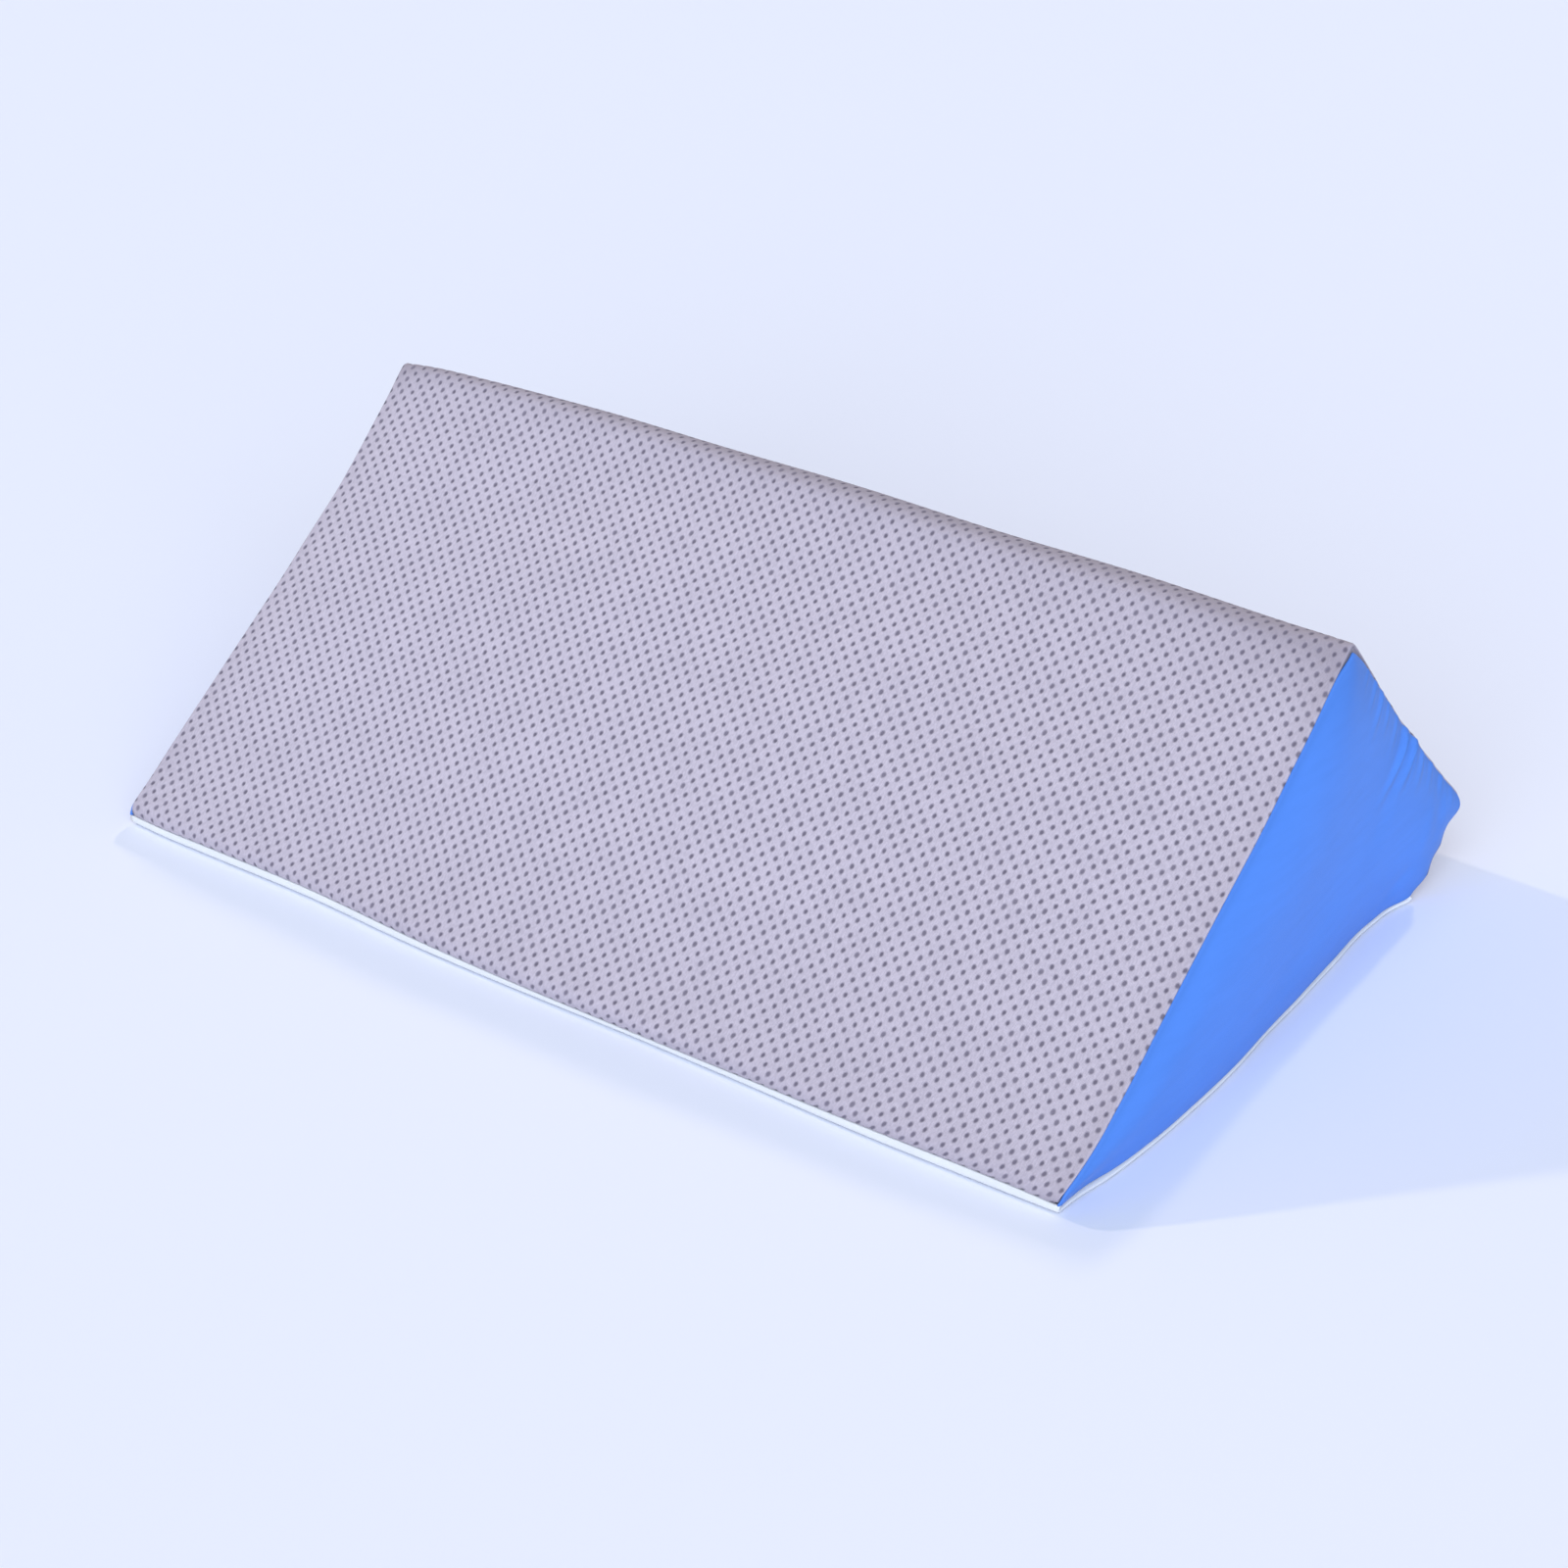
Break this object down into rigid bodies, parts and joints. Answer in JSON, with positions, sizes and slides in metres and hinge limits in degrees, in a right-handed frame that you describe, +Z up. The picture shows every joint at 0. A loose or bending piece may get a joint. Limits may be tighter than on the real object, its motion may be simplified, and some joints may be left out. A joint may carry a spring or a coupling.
{
  "type": "wedge pillow",
  "caption": "Long three-sided wedge pillow: a dotted cloth over the long slope, ridge and back, plain crowned ends gathered at their back seams, and a plain base.",
  "frame": {"origin": "under the middle of the pillow, on the surface that it rests on", "axes": "+X along the ridge, towards the end that the picture shows, +Y from the thin front edge to the heel at the back, +Z up"},
  "size_m": [0.6156, 0.3334, 0.1745],
  "materials": {
    "dotted_cloth": "soft matte spacer cloth with rows of small sunk dots",
    "blue_cloth": "smooth close-woven cloth, slightly lustrous",
    "white_cloth": "plain matte woven cloth"
  },
  "bodies": {
    "root": {"dotted_body": "dotted_cloth", "blue_end_left": "blue_cloth", "blue_end_right": "blue_cloth", "white_base": "white_cloth"}
  },
  "joints": []
}
